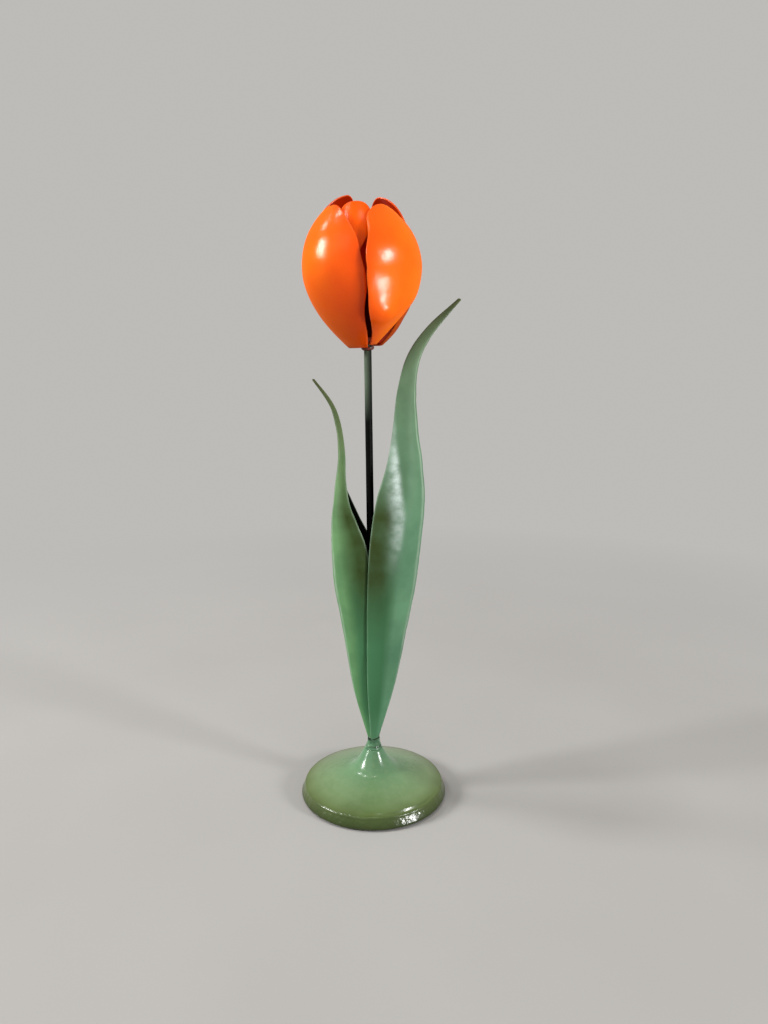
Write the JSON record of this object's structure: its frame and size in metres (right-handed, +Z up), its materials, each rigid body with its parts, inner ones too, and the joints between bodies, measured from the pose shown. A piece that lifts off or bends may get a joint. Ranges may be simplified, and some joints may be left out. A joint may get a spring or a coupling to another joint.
{
  "type": "metal tulip ornament",
  "caption": "Free-standing sheet-metal tulip: a closed cup of dished petals and folded leaves on a rod stem, welded to a round foot with a flared neck.",
  "frame": {"origin": "middle of the underside of the foot pad, where the object stands", "axes": "+Z up along the foot's axis, -Y towards the front, where the large leaf is on the right, +X to the right"},
  "size_m": [0.105, 0.1, 0.3955],
  "materials": {
    "petal_paint": "glossy translucent orange lacquer",
    "leaf_paint": "satin sea-green lacquer on hammered sheet",
    "foot_paint": "glossy green lacquer, olive towards the rim",
    "weld_paint": "glossy green lacquer on a lumpy weld",
    "stem_paint": "dark green-black lacquer",
    "collar_paint": "dark red lacquer",
    "pad": "matt black"
  },
  "bodies": {
    "root": {"foot": "foot_paint", "foot_pad": "pad", "neck_weld": "weld_paint", "stem": "stem_paint", "large_leaf": "leaf_paint", "small_leaf": "leaf_paint", "outer_petal_front_left": "petal_paint", "outer_petal_front_right": "petal_paint", "outer_petal_back_right": "petal_paint", "outer_petal_back_left": "petal_paint", "inner_petal_front": "petal_paint", "inner_petal_back": "petal_paint", "petal_collar": "collar_paint", "petal_cap": "collar_paint"}
  },
  "joints": []
}
